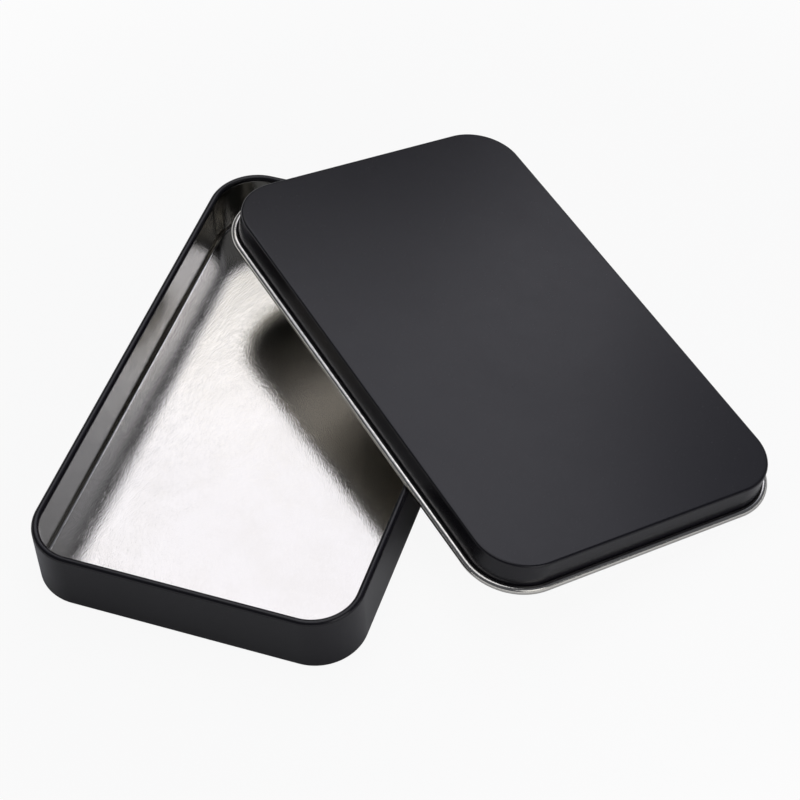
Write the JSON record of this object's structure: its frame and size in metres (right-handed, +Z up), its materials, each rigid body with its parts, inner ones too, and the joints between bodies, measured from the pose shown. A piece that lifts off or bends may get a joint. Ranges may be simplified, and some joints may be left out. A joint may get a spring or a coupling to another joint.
{
  "type": "slip-lid tin box",
  "caption": "Shallow rectangular tin tray with rounded corners and an inward-rolled rim, its slip lid off and leaning across it on the table.",
  "frame": {"origin": "middle of the tray's underside, on the surface that the tray stands on", "axes": "+Z up, +Y along the tray's long side, +X along its short side towards the side that the lid hangs over"},
  "size_m": [0.1959, 0.2057, 0.0373],
  "materials": {
    "black_enamel": "satin black enamel baked on tinplate, outside of both pieces and the tray's rolled rim",
    "bare_tinplate": "bare bright tinplate with a fine rolled grain, inside of both pieces and the lid's rolled edge"
  },
  "bodies": {
    "root": {"tin_base": "black_enamel", "tin_lid": "black_enamel"}
  },
  "joints": []
}
